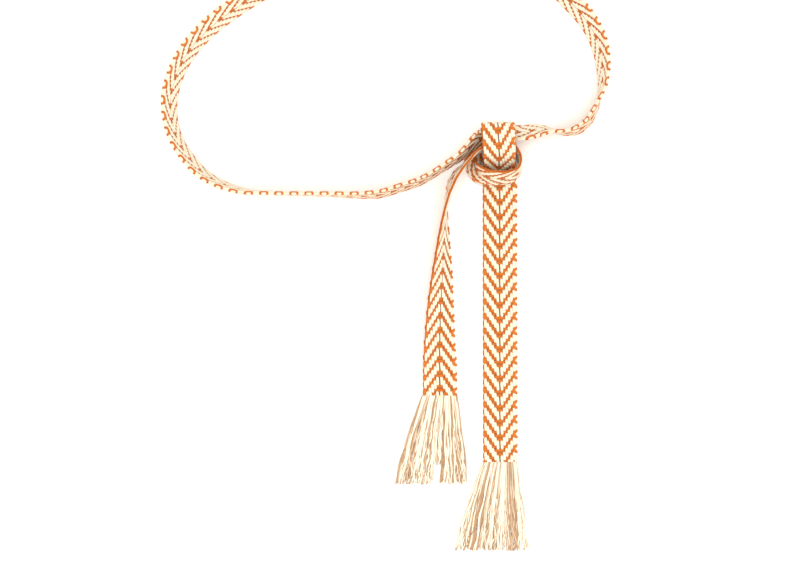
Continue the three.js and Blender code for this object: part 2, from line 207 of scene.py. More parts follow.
# Width of a fringe where it leaves the band, as a share of the band's width
FRINGE_ROOT = 0.97

# The soft light and the camera's fixed values
LIGHT_SIZE = 1.4
LIGHT_PLACE = (-0.05, -0.25, 1.5)
LIGHT_AIM = (-0.08, -0.05, 0.0)
SENSOR_WIDTH = 36.0
NEAREST_SEEN = 0.01

# Names of the attributes that the path and the trees write and the trees and materials read
WEAVE = "weave_place"
SHADE = "strand_shade"
ACROSS = "band_across"


class BeltSizes(bpy.types.PropertyGroup):
    """Sizes of the band's weave and of the fringes."""

    band_width: bpy.props.FloatProperty(
        name="Band Width", description="Width of the woven band",
        default=30 * MM, unit="LENGTH")
    band_thickness: bpy.props.FloatProperty(
        name="Band Thickness", description="Thickness of the woven band",
        default=3 * MM, unit="LENGTH")
    warp_cords: bpy.props.IntProperty(
        name="Warp Cords", description="Number of cream cords across the band",
        default=12)
    cord_pitch: bpy.props.FloatProperty(
        name="Cord Pitch", description="Distance from one warp cord to the next",
        default=2.1 * MM, unit="LENGTH")
    middle_gap: bpy.props.FloatProperty(
        name="Middle Gap", description="Gap between the two cords in the middle of the band",
        default=1.3 * MM, unit="LENGTH")
    chevrons: bpy.props.FloatProperty(
        name="Chevrons", description="Number of chevrons in the length of the band",
        default=128.65)
    pattern_start: bpy.props.FloatProperty(
        name="Pattern Start", description="Where the first chevron starts, in chevrons",
        default=0.25)
    cord_width: bpy.props.FloatProperty(
        name="Cord Width", description="Width of a cream cord where it floats",
        default=2.6 * MM, unit="LENGTH")
    rim_width: bpy.props.FloatProperty(
        name="Rim Width", description="Width of the weft where it runs along the closed edge",
        default=1.0 * MM, unit="LENGTH")
    edge_cord: bpy.props.FloatProperty(
        name="Edge Cord", description="Width of the straight cord that the weft hooks around",
        default=2.2 * MM, unit="LENGTH")
    cord_thickness: bpy.props.FloatProperty(
        name="Cord Thickness", description="Thickness of a cream cord",
        default=1.45 * MM, unit="LENGTH")
    cord_lift: bpy.props.FloatProperty(
        name="Cord Lift", description="How far a cord swings to each face of the band",
        default=0.72 * MM, unit="LENGTH")
    cord_slant: bpy.props.FloatProperty(
        name="Cord Slant", description="How far a float leans to each side",
        default=0.22 * MM, unit="LENGTH")
    weft_width: bpy.props.FloatProperty(
        name="Weft Width", description="Width of one orange pick along the band",
        default=3.75 * MM, unit="LENGTH")
    weft_thickness: bpy.props.FloatProperty(
        name="Weft Thickness", description="Thickness of one orange pick",
        default=0.9 * MM, unit="LENGTH")
    weft_lift: bpy.props.FloatProperty(
        name="Weft Lift", description="How far a pick swings to each face of the band",
        default=0.30 * MM, unit="LENGTH")
    hook_width: bpy.props.FloatProperty(
        name="Hook Width", description="Width of the weft where it hooks around the edge cord",
        default=2.5 * MM, unit="LENGTH")
    hook_depth: bpy.props.FloatProperty(
        name="Hook Depth", description="How far a hook reaches in from the rim",
        default=2.4 * MM, unit="LENGTH")
    fringe_length: bpy.props.FloatProperty(
        name="Fringe Length", description="Length of the loose yarn at each end",
        default=76 * MM, unit="LENGTH")
    fringe_strands: bpy.props.IntProperty(
        name="Fringe Strands", description="Number of loose strands in each fringe",
        default=150)
    strand_thickness: bpy.props.FloatProperty(
        name="Strand Thickness", description="Thickness of one loose strand",
        default=1.3 * MM, unit="LENGTH")


class BeltColours(bpy.types.PropertyGroup):
    """Colours of the yarns."""

    cream: bpy.props.FloatVectorProperty(
        name="Cream", description="Colour of the warp cords",
        subtype="COLOR", default=(0.89, 0.815, 0.65))
    # Painted shade: the warp cords take this darker colour where they lie low between the other
    # yarns.
    cream_shaded: bpy.props.FloatVectorProperty(
        name="Shaded Cream", description="Colour of the warp cords where they dip",
        subtype="COLOR", default=(0.64, 0.33, 0.125))
    # Painted shade: the straight edge cord takes this colour on its sides, low between the two
    # faces.
    edge_cream_shaded: bpy.props.FloatVectorProperty(
        name="Shaded Edge Cream", description="Deeper colour of the straight edge cord",
        subtype="COLOR", default=(0.83, 0.74, 0.56))
    orange: bpy.props.FloatVectorProperty(
        name="Orange", description="Colour of the weft",
        subtype="COLOR", default=(0.63, 0.168, 0.020))
    # Painted shade: the weft takes this darker orange where it lies low between the cords.
    orange_shaded: bpy.props.FloatVectorProperty(
        name="Shaded Orange", description="Colour of the weft where it is darker",
        subtype="COLOR", default=(0.37, 0.088, 0.012))
    strand_light: bpy.props.FloatVectorProperty(
        name="Light Strand", description="Colour of the lightest fringe strands",
        subtype="COLOR", default=(0.92, 0.87, 0.72))
    # Both the dark random tone of some strands and the colour of painted shade on the lower
    # strands and on the steep sides of all strands.
    strand_dark_and_shaded: bpy.props.FloatVectorProperty(
        name="Dark Strand", description="Colour of the darkest fringe strands",
        subtype="COLOR", default=(0.47, 0.29, 0.165))
    # Painted shade: the dark ground shows between the yarns in place of the shade there.
    ground: bpy.props.FloatVectorProperty(
        name="Ground", description="Colour between the yarns",
        subtype="COLOR", default=(0.24, 0.075, 0.03))


class StageSettings(bpy.types.PropertyGroup):
    """Camera, floor and lights."""

    camera_height: bpy.props.FloatProperty(
        name="Camera Height", description="Height of the camera above the floor",
        default=1.2, unit="LENGTH")
    camera_aside: bpy.props.FloatProperty(
        name="Camera Aside", description="Place of the camera along X",
        default=-87.1 * MM, unit="LENGTH")
    camera_back: bpy.props.FloatProperty(
        name="Camera Back", description="Place of the camera along Y",
        default=-75.2 * MM, unit="LENGTH")
    camera_lens: bpy.props.FloatProperty(
        name="Lens", description="Focal length in millimetres", default=64.0)
    floor_size: bpy.props.FloatProperty(
        name="Floor Size", description="Side of the floor", default=8.0, unit="LENGTH")
    floor_colour: bpy.props.FloatVectorProperty(
        name="Floor Colour", description="Colour of the floor",
        subtype="COLOR", default=(0.95, 0.95, 0.95))
    room_light: bpy.props.FloatProperty(
        name="Room Light", description="Strength of the even light all round", default=1.08)
    room_colour: bpy.props.FloatVectorProperty(
        name="Room Colour", description="Colour of the even light all round",
        subtype="COLOR", default=(1.0, 0.955, 0.89))
    soft_light: bpy.props.FloatProperty(
        name="Soft Light", description="Power of the soft light above",
        default=15.0, unit="POWER")


# Path of the band

def named_rows(columns, rows):
    return [dict(zip(columns, row)) for row in rows]


def resting_height(row, rise, sizes):
    """Height of the band's middle when its lower edge or face rests at the row's level."""
    width = sizes.band_width * row.get("wide", 1)
    level = row["layers"] * (sizes.band_thickness + LAYER_GAP)
    level += row.get("raise", 0) * sizes.band_width
    reach = (width - sizes.band_thickness) / 2
    return level + sizes.band_thickness / 2 + reach * abs(math.sin(rise))


def placed_row(place, row, turn, rise, step, sizes):
    """Section of the band: its middle, and the line across it from its turn and its rise."""
    return {
        "point": Vector((*place, resting_height(row, rise, sizes))),
        "across": Vector((math.cos(turn) * math.cos(rise),
                          math.sin(turn) * math.cos(rise), math.sin(rise))),
        "wide": row.get("wide", 1),
        "step": step,
    }


def knot_rows(rows, step, sizes):
    return [placed_row((row["x"] * sizes.band_width, row["y"] * sizes.band_width), row,
                       math.radians(row["turn"]), math.radians(row["rise"]), step, sizes)
            for row in named_rows(KNOT_COLUMNS, rows)]


def rolled_rows(places, rows, rolls, step, sizes):
    """Rows that say how the band rolls about its own way along the surface."""
    placed = []
    for index, row in enumerate(rows):
        before = places[max(index - 1, 0)]
        after = places[min(index + 1, len(places) - 1)]
        left = math.atan2(after[1] - before[1], after[0] - before[0]) + math.pi / 2
        roll = math.radians(rolls[index])
        placed.append(placed_row(places[index], row, left, roll, step, sizes))
    return placed


def end_rows(table, top, length, step, sizes):
    rows = named_rows(END_COLUMNS, table)
    places = [(row["aside"] * sizes.band_width, top * sizes.band_width - row["down"] * length)
              for row in rows]
    return rolled_rows(places, rows, [row["roll"] for row in rows], step, sizes)


def loop_rows(step, sizes):
    rows = named_rows(LOOP_COLUMNS, LOOP)
    places = [((row["along"] - KNOT_PLACE) * LOOP_WIDTH, row["back"] * LOOP_DEPTH)
              for row in rows]
    return rolled_rows(places, rows, [90 + row["lean"] for row in rows], step, sizes)


def smooth_value(values, spans, index, share):
    """Smooth value between two rows, with slopes that allow for uneven spacing."""
    def slope(at):
        if at == 0:
            return (values[1] - values[0]) / spans[0]
        if at == len(values) - 1:
            return (values[at] - values[at - 1]) / spans[at - 1]
        before = (values[at] - values[at - 1]) / spans[at - 1]
        after = (values[at + 1] - values[at]) / spans[at]
        return (before * spans[at] + after * spans[at - 1]) / (spans[at] + spans[at - 1])

    span = spans[index]
    squared = share * share
    cubed = squared * share
    return ((2 * cubed - 3 * squared + 1) * values[index]
            + (cubed - 2 * squared + share) * span * slope(index)
            + (3 * squared - 2 * cubed) * values[index + 1]
            + (cubed - squared) * span * slope(index + 1))


def band_stations(sizes):
    """Stations along the band: middle, unit line across, facing and share of the width."""
    rows = (end_rows(SHORT_END, SHORT_END_TOP, SHORT_END_LENGTH, PLAIN_STEP, sizes)
            + knot_rows(KNOT_WRAP, KNOT_STEP, sizes)
            + loop_rows(PLAIN_STEP, sizes)
            + knot_rows(KNOT_DROP, KNOT_STEP, sizes)
            + end_rows(LONG_END, LONG_END_TOP, LONG_END_LENGTH, PLAIN_STEP, sizes))
    points = [row["point"] for row in rows]
    acrosses = [row["across"] for row in rows]
    wides = [row["wide"] for row in rows]
    spans = [(after - before).length for before, after in zip(points, points[1:])]
    stations = []
    for index, span in enumerate(spans):
        count = max(1, round(span / min(rows[index]["step"], rows[index + 1]["step"])))
        last = count if index == len(spans) - 1 else count - 1
        for part in range(last + 1):
            share = part / count
            stations.append({
                "row": index + share,
                "middle": smooth_value(points, spans, index, share),
                "across": smooth_value(acrosses, spans, index, share),
                "wide": smooth_value(wides, spans, index, share),
            })
    for index, station in enumerate(stations):
        before = stations[max(index - 1, 0)]["middle"]
        after = stations[min(index + 1, len(stations) - 1)]["middle"]
        along = (after - before).normalized()
        across = station["across"] - along * station["across"].dot(along)
        station["across"] = across.normalized()
        reach = (sizes.band_width * station["wide"] - sizes.band_thickness) / 2
        lowest = sizes.band_thickness / 2 + reach * abs(station["across"].z)
        station["middle"].z = max(station["middle"].z, lowest)
        station["facing"] = along.cross(station["across"]).normalized()
    return stations


def band_path(sizes):
    """Line of edges down the middle of the band, with the line across it at each point."""
    stations = band_stations(sizes)
    mesh = bpy.data.meshes.new("band_path")
    mesh.from_pydata([station["middle"] for station in stations],
                     [(index, index + 1) for index in range(len(stations) - 1)], [])
    across = mesh.attributes.new(ACROSS, "FLOAT_VECTOR", "POINT")
    for value, station in zip(across.data, stations):
        value.vector = station["across"] * station["wide"]
    path = bpy.data.objects.new("band_path", mesh)
    bpy.context.scene.collection.objects.link(path)
    return path, stations


def band_length(stations, last_row=math.inf):
    """Length along the middle of the band, whole or up to one of its rows."""
    middles = [station["middle"] for station in stations if station["row"] <= last_row]
    return sum((after - before).length for before, after in zip(middles, middles[1:]))


def change_lengths(stations):
    """Where the open edge of the band changes over and back, both out of sight in the knot."""
    wrap_row = len(SHORT_END) + WRAP_ROW_OF_CHANGE
    drop_row = len(SHORT_END) + len(KNOT_WRAP) + len(LOOP) + DROP_ROW_OF_CHANGE
    return {"Change From": band_length(stations, wrap_row),
            "Change To": band_length(stations, drop_row)}


# Building of node trees

class NodeBench:
    """Adds nodes to a tree and links them as they are added."""

    def __init__(self, tree):
        self.tree = tree

    def feed(self, socket, value):
        if isinstance(value, bpy.types.NodeSocket):
            self.tree.links.new(value, socket)
        else:
            socket.default_value = value

    def add(self, kind, inputs=None, **settings):
        node = self.tree.nodes.new(kind)
        for setting, value in settings.items():
            setattr(node, setting, value)
        for socket, value in (inputs or {}).items():
            self.feed(node.inputs[socket], value)
        return node

    def math(self, operation, *values):
        node = self.add("ShaderNodeMath", dict(enumerate(values)), operation=operation)
        return node.outputs[0]

    def plus(self, first, second):
        return self.math("ADD", first, second)

    def minus(self, first, second):
        return self.math("SUBTRACT", first, second)

    def times(self, first, second):
        return self.math("MULTIPLY", first, second)

    def over(self, first, second):
        return self.math("DIVIDE", first, second)

    def times_plus(self, first, second, third):
        """First times second, plus third."""
        return self.math("MULTIPLY_ADD", first, second, third)

    def at_least(self, value, limit):
        return self.math("MAXIMUM", value, limit)

    def at_most(self, value, limit):
        return self.math("MINIMUM", value, limit)

    def as_share(self, value):
        """Value kept between 0 and 1."""
        return self.at_most(self.at_least(value, 0.0), 1.0)

    def vector(self, operation, *values):
        node = self.add("ShaderNodeVectorMath", dict(enumerate(values)), operation=operation)
        return node.outputs[0]

    def scaled(self, vector, factor):
        node = self.add("ShaderNodeVectorMath", {0: vector, "Scale": factor}, operation="SCALE")
        return node.outputs[0]

    def parts(self, vector):
        return self.add("ShaderNodeSeparateXYZ", {0: vector}).outputs

    def joined(self, x, y, z):
        return self.add("ShaderNodeCombineXYZ", {0: x, 1: y, 2: z}).outputs[0]

    def random(self, low, high, seed, key=None):
        inputs = {2: low, 3: high, "Seed": seed}
        if key is not None:
            inputs["ID"] = key
        return self.add("FunctionNodeRandomValue", inputs, data_type="FLOAT").outputs[1]


# Kinds of the named inputs, where they aren't plain floats
SOCKET_KINDS = {
    "Path": "Object", "Material": "Material", "Root": "Vector", "Cords": "Int",
    "Strands": "Int", "Locks": "Int", "Steps": "Int", "Sides": "Int", "Seed": "Int"}


def new_geometry_tree(name, labels):
    """Empty geometry tree with its named inputs, and a bench to build it on."""
    tree = bpy.data.node_groups.new(name, "GeometryNodeTree")
    tree.interface.new_socket("Geometry", in_out="OUTPUT", socket_type="NodeSocketGeometry")
    for label in labels:
        kind = SOCKET_KINDS.get(label, "Float")
        tree.interface.new_socket(label, in_out="INPUT", socket_type=f"NodeSocket{kind}")
    bench = NodeBench(tree)
    given = bench.add("NodeGroupInput").outputs
    return tree, bench, given


def finish_tree(bench, geometry, material):
    """Last nodes of every tree: real geometry with its material."""
    shaded = bench.add("GeometryNodeSetShadeSmooth", {"Geometry": geometry}).outputs[0]
    real = bench.add("GeometryNodeRealizeInstances", {"Geometry": shaded}).outputs[0]
    painted = bench.add("GeometryNodeSetMaterial", {"Geometry": real, "Material": material})
    output = bench.add("NodeGroupOutput")
    bench.tree.links.new(painted.outputs[0], output.inputs[0])


def path_as_curve(bench, path):
    info = bench.add("GeometryNodeObjectInfo", {"Object": path})
    curve = bench.add("GeometryNodeMeshToCurve", {"Mesh": info.outputs["Geometry"]}).outputs[0]
    length = bench.add("GeometryNodeCurveLength", {"Curve": curve}).outputs[0]
    return curve, length


def repeated_lines(bench, points, count):
    """Straight unit lines along x, all in one place: their share of length and their numbers."""
    step = bench.over(1.0, bench.minus(points, 1.0))
    line = bench.add("GeometryNodeMeshLine",
                     {"Count": points, "Offset": bench.joined(step, 0.0, 0.0)},
                     mode="OFFSET", count_mode="TOTAL").outputs[0]
    curve = bench.add("GeometryNodeMeshToCurve", {"Mesh": line}).outputs[0]
    copies = bench.add("GeometryNodeDuplicateElements",
                       {"Geometry": curve, "Amount": count}, domain="SPLINE")
    share = bench.parts(bench.add("GeometryNodeInputPosition").outputs[0])[0]
    return copies.outputs["Geometry"], copies.outputs["Duplicate Index"], share


def placed_lines(bench, lines, place):
    return bench.add("GeometryNodeSetPosition",
                     {"Geometry": lines, "Position": place}).outputs[0]


def swept_yarn(bench, placed, given, width, thickness):
    """Yarns of even width and thickness along the placed lines."""
    upright = bench.add("GeometryNodeSetCurveNormal", {"Curve": placed}, mode="Z_UP").outputs[0]
    ring = bench.add("GeometryNodeCurvePrimitiveCircle",
                     {"Resolution": given["Sides"], "Radius": 0.5}).outputs[0]
    profile = bench.add("GeometryNodeTransform", {
        "Geometry": ring, "Scale": bench.joined(width, thickness, 1.0)}).outputs[0]
    return bench.add("GeometryNodeCurveToMesh", {
        "Curve": upright, "Profile Curve": profile, "Fill Caps": True}).outputs[0]


# Yarns stay this far above the surface; the other two ways are free.
LOWEST_PLACE = (-1.0, -1.0, 0.05 * MM)


def laid_on_band(bench, geometry, path_curve):
    """Takes flat geometry, with x along, y across and z out of the face, onto the band."""
    place = bench.add("GeometryNodeInputPosition").outputs[0]
    kept = bench.add("GeometryNodeStoreNamedAttribute",
                     {"Geometry": geometry, "Name": WEAVE, "Value": place},
                     data_type="FLOAT_VECTOR", domain="POINT").outputs[0]
    along, aside, out = bench.parts(place)
    across = bench.add("GeometryNodeInputNamedAttribute", {"Name": ACROSS},
                       data_type="FLOAT_VECTOR").outputs[0]
    sample = bench.add("GeometryNodeSampleCurve",
                       {"Curves": path_curve, "Value": across, "Length": along},
                       data_type="FLOAT_VECTOR", mode="LENGTH")
    line_across = sample.outputs["Value"]
    facing = bench.vector("NORMALIZE",
                          bench.vector("CROSS_PRODUCT", sample.outputs["Tangent"], line_across))
    moved = bench.vector("ADD", sample.outputs["Position"], bench.scaled(line_across, aside))
    moved = bench.vector("ADD", moved, bench.scaled(facing, out))
    moved = bench.vector("MAXIMUM", moved, LOWEST_PLACE)
    return bench.add("GeometryNodeSetPosition", {"Geometry": kept, "Position": moved}).outputs[0]


def edge_sign(bench, along, given):
    """1 on the ends and -1 round the loop, where the open edge of the band changes over."""
    changed = bench.times(bench.math("GREATER_THAN", along, given["Change From"]),
                          bench.math("LESS_THAN", along, given["Change To"]))
    return bench.times_plus(changed, -2.0, 1.0)


def face_sign(bench, along, given):
    """1 up to the knot and -1 after it, where the other face of the band is outermost."""
    after = bench.math("GREATER_THAN", along, given["Change From"])
    return bench.times_plus(after, -2.0, 1.0)


def finish_weave(bench, given, lines, place, path_curve):
    """Last nodes of the trees of the weave: yarns along the flat lines, laid on the band."""
    placed = placed_lines(bench, lines, place)
    yarns = swept_yarn(bench, placed, given, given["Width"], given["Thickness"])
    finish_tree(bench, laid_on_band(bench, yarns, path_curve), given["Material"])


# Inputs that the three trees of the weave have in common
WEAVE_SOCKETS = (
    "Path", "Cords", "Chevrons", "Pattern Start", "Change From", "Change To", "Width",
    "Thickness", "Lift", "Steps", "Sides", "Material")

# The twill: four picks make a chevron, so each cord's floats lie a quarter of one further on.
PICKS_PER_CHEVRON = 4

# Warp cords: how round they turn, how much longer their outer floats are, as shares of the swing,
# and how unevenly they lie.
CORD_ROUNDING = 0.16
LONGER_ON_ENDS = 0.10
LONGER_ROUND_LOOP = 0.34
CORD_SCATTER = 0.05 * MM


def warp_tree():
    """Cream cords that run along the band and swing from face to face."""
    tree, bench, given = new_geometry_tree("Warp cords of the band", (
        *WEAVE_SOCKETS, "Pitch", "Middle Gap", "Place Aside", "Slant", "Seed"))
    path_curve, length = path_as_curve(bench, given["Path"])
    points = bench.math("CEIL", bench.times(given["Chevrons"], given["Steps"]))
    lines, number, share = repeated_lines(bench, points, given["Cords"])
    along = bench.times(share, length)
    middle = bench.times(bench.minus(given["Cords"], 1.0), 0.5)
    offset = bench.minus(number, middle)
    column = bench.minus(bench.math("ABSOLUTE", offset), 0.5)
    turns = bench.times(share, given["Chevrons"])
    turns = bench.times_plus(column, 1 / PICKS_PER_CHEVRON, turns)
    phase = bench.math("FRACT", bench.plus(turns, given["Pattern Start"]))
    swing = bench.math("SINE", bench.times(phase, 2 * math.pi))
    rounded = bench.math("SQRT", bench.times_plus(swing, swing, CORD_ROUNDING))
    edge = edge_sign(bench, along, given)
    longer = bench.times_plus(edge, (LONGER_ON_ENDS - LONGER_ROUND_LOOP) / 2,
                              (LONGER_ON_ENDS + LONGER_ROUND_LOOP) / 2)
    longer = bench.times(longer, face_sign(bench, along, given))
    level = bench.over(bench.plus(swing, longer), rounded)
    out = bench.times(level, given["Lift"])
    quarter = bench.times(phase, 4.0)
    lean = bench.minus(1.0, bench.math("ABSOLUTE", bench.minus(quarter, 2.0)))
    uneven = bench.random(-CORD_SCATTER, CORD_SCATTER, given["Seed"])
    half_gap = bench.times(given["Middle Gap"], 0.5)
    aside = bench.times_plus(offset, given["Pitch"], uneven)
    aside = bench.times_plus(bench.math("SIGN", offset), half_gap, aside)
    aside = bench.times_plus(lean, given["Slant"], aside)
    aside = bench.plus(aside, bench.times(given["Place Aside"], edge))
    finish_weave(bench, given, lines, bench.joined(along, aside, out), path_curve)
    return tree


# Weft picks: the share of a pick's line that crosses the band before it turns, how far it starts
# and turns inside the cords at the closed and the hooked edge, and how much higher it turns at
# the closed edge.
CROSSING_SHARE = 0.78
START_INSIDE = 0.2 * MM
TURN_INSIDE_CLOSED = 0.5 * MM
TURN_INSIDE_HOOKED = 1.1 * MM
TURN_LIFT = 0.45 * MM


def weft_tree():
    """Orange picks that cross the band over and under the cords and turn at its edges."""
    tree, bench, given = new_geometry_tree("Weft picks of the band", (
        *WEAVE_SOCKETS, "Pitch", "Middle Gap"))
    path_curve, length = path_as_curve(bench, given["Path"])
    pick_pitch = bench.over(bench.times(length, 1 / PICKS_PER_CHEVRON), given["Chevrons"])
    count = bench.math("CEIL", bench.times(given["Chevrons"], float(PICKS_PER_CHEVRON)))
    lines, number, share = repeated_lines(bench, given["Steps"], count)
    crossing = bench.at_most(bench.over(share, CROSSING_SHARE), 1.0)
    turning = bench.over(bench.minus(share, CROSSING_SHARE), 1 - CROSSING_SHARE)
    angle = bench.times(bench.at_least(turning, 0.0), math.pi)
    turned = bench.math("SINE", angle)

    half_cords = bench.times(given["Cords"], 0.5)
    half_gap = bench.times(given["Middle Gap"], 0.5)
    half = bench.times_plus(half_cords, given["Pitch"], half_gap)
    odd = bench.math("FLOORED_MODULO", number, 2.0)
    side = bench.minus(1.0, bench.times(odd, 2.0))
    closed = bench.times_plus(side, 0.5, 0.5)
    hooked = bench.minus(1.0, closed)
    side = bench.times(side, edge_sign(bench, bench.times(number, pick_pitch), given))
    inside = bench.times_plus(hooked, TURN_INSIDE_HOOKED - TURN_INSIDE_CLOSED,
                              TURN_INSIDE_CLOSED)
    far_edge = bench.minus(half, inside)
    near_edge = bench.minus(START_INSIDE, half)
    reach = bench.times_plus(bench.minus(far_edge, near_edge), crossing, near_edge)
    aside = bench.times(reach, side)
    forward = bench.times(bench.minus(1.0, bench.math("COSINE", angle)), 0.5)
    pick = bench.plus(bench.plus(number, 0.5), forward)
    along = bench.times(pick, pick_pitch)

    beyond = bench.minus(bench.math("ABSOLUTE", aside), half_gap)
    column = bench.math("FLOOR", bench.over(beyond, given["Pitch"]))
    column = bench.at_least(bench.at_most(column, bench.minus(half_cords, 1.0)), 0.0)
    whole = bench.plus(bench.math("ROUND", bench.minus(pick, 0.5)), 0.5)
    turns = bench.times(bench.plus(whole, column), 1 / PICKS_PER_CHEVRON)
    phase = bench.math("FRACT", bench.plus(turns, given["Pattern Start"]))
    under = bench.math("LESS_THAN", phase, 0.5)
    level = bench.add("GeometryNodeBlurAttribute",
                      {"Value": bench.times_plus(under, -2.0, 1.0), "Iterations": 1},
                      data_type="FLOAT").outputs[0]
    lift = bench.times_plus(bench.times(turned, closed), TURN_LIFT, given["Lift"])
    out = bench.times(level, lift)
    finish_weave(bench, given, lines, bench.joined(along, aside, out), path_curve)
    return tree


# Hooks: how far one leg lies ahead of the other and the bow leads them, as shares of a chevron,
# how far the pattern of the other face is ahead, how unevenly they lie, how round they pass over
# the edge cord, and how much of their height is left on the hidden face.
HOOK_LEG_SHIFT = 0.25
HOOK_BOW = 0.17
FACE_SHIFT = 0.5
HOOK_SCATTER = 0.12 * MM
HOOK_ROUNDING = 0.03
HOOK_BENEATH = 0.4


def hook_tree():
    """Orange hooks around the edge cord, one to a chevron, open towards the rim."""
    tree, bench, given = new_geometry_tree("Hooks of the open edge", (
        *WEAVE_SOCKETS, "Place Aside", "Depth", "Seed"))
    path_curve, length = path_as_curve(bench, given["Path"])
    chevron = bench.over(length, given["Chevrons"])
    count = bench.math("FLOOR", given["Chevrons"])
    lines, number, share = repeated_lines(bench, given["Steps"], count)
    way_round = bench.times(share, 2 * math.pi)

    start = bench.times_plus(given["Cords"], -0.5 / PICKS_PER_CHEVRON, 1.0)
    start = bench.math("FRACT", bench.minus(start, given["Pattern Start"]))
    first = bench.plus(number, start)
    reached = bench.times(first, chevron)
    edge = edge_sign(bench, reached, given)
    face = face_sign(bench, reached, given)
    legs = bench.times(bench.minus(share, 0.5), HOOK_LEG_SHIFT)
    spread = bench.times_plus(bench.math("SINE", way_round), -HOOK_BOW, legs)
    ahead = bench.times_plus(face, -FACE_SHIFT / 2, FACE_SHIFT / 2)
    along = bench.times(bench.plus(ahead, bench.plus(first, spread)), chevron)

    swing = bench.math("COSINE", bench.times(way_round, 2.0))
    uneven = bench.random(-HOOK_SCATTER, HOOK_SCATTER, given["Seed"], number)
    reach = bench.plus(given["Place Aside"], uneven)
    reach = bench.times_plus(bench.times(swing, -0.5), given["Depth"], reach)
    aside = bench.times(reach, bench.times(edge, -1.0))

    level = bench.math("COSINE", way_round)
    rounded = bench.math("SQRT", bench.times_plus(level, level, HOOK_ROUNDING))
    level = bench.over(level, rounded)
    beneath = bench.times(bench.at_least(level, 0.0), HOOK_BENEATH)
    level = bench.plus(bench.at_most(level, 0.0), beneath)
    out = bench.times(bench.times(level, given["Lift"]), bench.times(face, -1.0))
    finish_weave(bench, given, lines, bench.joined(along, aside, out), path_curve)
    return tree


# Fringe strands across the fan: how far they change places, how much of a strand's place is its
# own and how much its lock's, how unevenly the tips lie, and how soon the strands fan out.
STRAND_SHUFFLE = 0.03
OWN_PLACE = 0.55
LOCK_PLACE = 0.45
TIP_SCATTER = 2.8 * MM
FAN_SWELL = 0.3

# Their waves and lengths: shortest share of the full length, turns and start of a wave in
# radians, and its share of the widest.
SHORTEST_STRAND = 0.93
WAVE_TURNS = (9.0, 24.0)
WAVE_START = (0.0, 6.28)
WAVE_SHARE = (0.25, 1.0)

# Their heights, as shares of the room above the surface: highest at the band, how much lower at
# the tips, ripple, and the lowest middle line in thicknesses.
HIGHEST_AT_ROOT = 0.85
SETTLED_AT_TIP = 0.25
RIPPLE = 0.08
LOWEST_MIDDLE = 0.62

# Their tones, all added up, from dark at 0 to light at 1: random tones of clumps and strands, and
# painted shade that makes the lower strands darker. The fall is for each metre to the right.
TONE_CLUMPS = 26.0
CLUMP_TONE = 0.38
OWN_TONE = 0.42
HEIGHT_SHADE = 0.22
LEAST_TONE = 0.04
TONE_FALL = 0.18


def fringe_tree():
    """Loose strands that leave the band side by side and fan out over the surface."""
    tree, bench, given = new_geometry_tree("Fringe strands", (
        "Root", "Strands", "Root Width", "Tip Left", "Tip Right", "Length", "Thickness", "Depth",
        "Wave", "Locks", "Gap Place", "Gap Width", "Gap Depth", "Steps", "Sides", "Seed",
        "Material"))
    lines, number, share = repeated_lines(bench, given["Steps"], given["Strands"])

    def chance(low, high, draw, key=number):
        """Random value of each strand; the draw's number keeps it apart from the others."""
        return bench.random(low, high, bench.plus(given["Seed"], float(draw)), key)

    order = bench.over(bench.plus(number, 0.5), given["Strands"])
    order = bench.plus(order, chance(-STRAND_SHUFFLE, STRAND_SHUFFLE, 1))
    order = bench.as_share(order)
    lock = bench.math("FLOOR", bench.times(order, given["Locks"]))
    lock = bench.over(bench.plus(lock, 0.5), given["Locks"])
    gathered = bench.plus(bench.times(order, OWN_PLACE), bench.times(lock, LOCK_PLACE))
    root = bench.times(bench.minus(order, 0.5), given["Root Width"])
    tip_span = bench.minus(given["Tip Right"], given["Tip Left"])
    tip = bench.times_plus(gathered, tip_span, given["Tip Left"])
    tip = bench.plus(tip, chance(-TIP_SCATTER, TIP_SCATTER, 2))

    near = bench.math("ABSOLUTE", bench.minus(tip, given["Gap Place"]))
    in_gap = bench.math("LESS_THAN", near, given["Gap Width"])
    cut = bench.times(in_gap, given["Gap Depth"])
    full = bench.minus(chance(SHORTEST_STRAND, 1.0, 3), cut)
    down = bench.times(bench.times(share, full), given["Length"])

    fan = bench.times(share, bench.times_plus(share, -FAN_SWELL, 1 + FAN_SWELL))
    aside = bench.times_plus(bench.minus(tip, root), fan, root)
    turns = bench.times_plus(share, chance(*WAVE_TURNS, 4), chance(*WAVE_START, 5))
    wave = bench.times(given["Wave"], chance(*WAVE_SHARE, 6))
    wave = bench.times(bench.math("SINE", turns), wave)
    aside = bench.times_plus(wave, share, aside)

    height = chance(0.0, 1.0, 7)
    settled = bench.times_plus(share, -SETTLED_AT_TIP, HIGHEST_AT_ROOT)
    ripple = bench.times(bench.math("COSINE", turns), bench.times(share, RIPPLE))
    layer = bench.at_least(bench.plus(bench.times(height, settled), ripple), 0.0)
    lowest = bench.times(given["Thickness"], LOWEST_MIDDLE)
    room = bench.minus(given["Depth"], bench.times(lowest, 2.0))
    up = bench.times_plus(layer, room, lowest)
    place = bench.vector("ADD", bench.joined(aside, bench.times(down, -1.0), up), given["Root"])

    clump = bench.math("FLOOR", bench.times(order, TONE_CLUMPS))
    tone = bench.plus(chance(0.0, CLUMP_TONE, 11, clump), chance(0.0, OWN_TONE, 12))
    # Painted shade: lower strands are darker, as if shaded by the strands above them.
    tone = bench.plus(tone, bench.times(height, HEIGHT_SHADE))
    tone = bench.times_plus(share, -TONE_FALL, bench.plus(tone, LEAST_TONE))
    tinted = bench.add("GeometryNodeStoreNamedAttribute",
                       {"Geometry": placed_lines(bench, lines, place), "Name": SHADE,
                        "Value": tone},
                       data_type="FLOAT", domain="POINT").outputs[0]
    strands = swept_yarn(bench, tinted, given, given["Thickness"], given["Thickness"])
    finish_tree(bench, strands, given["Material"])
    return tree


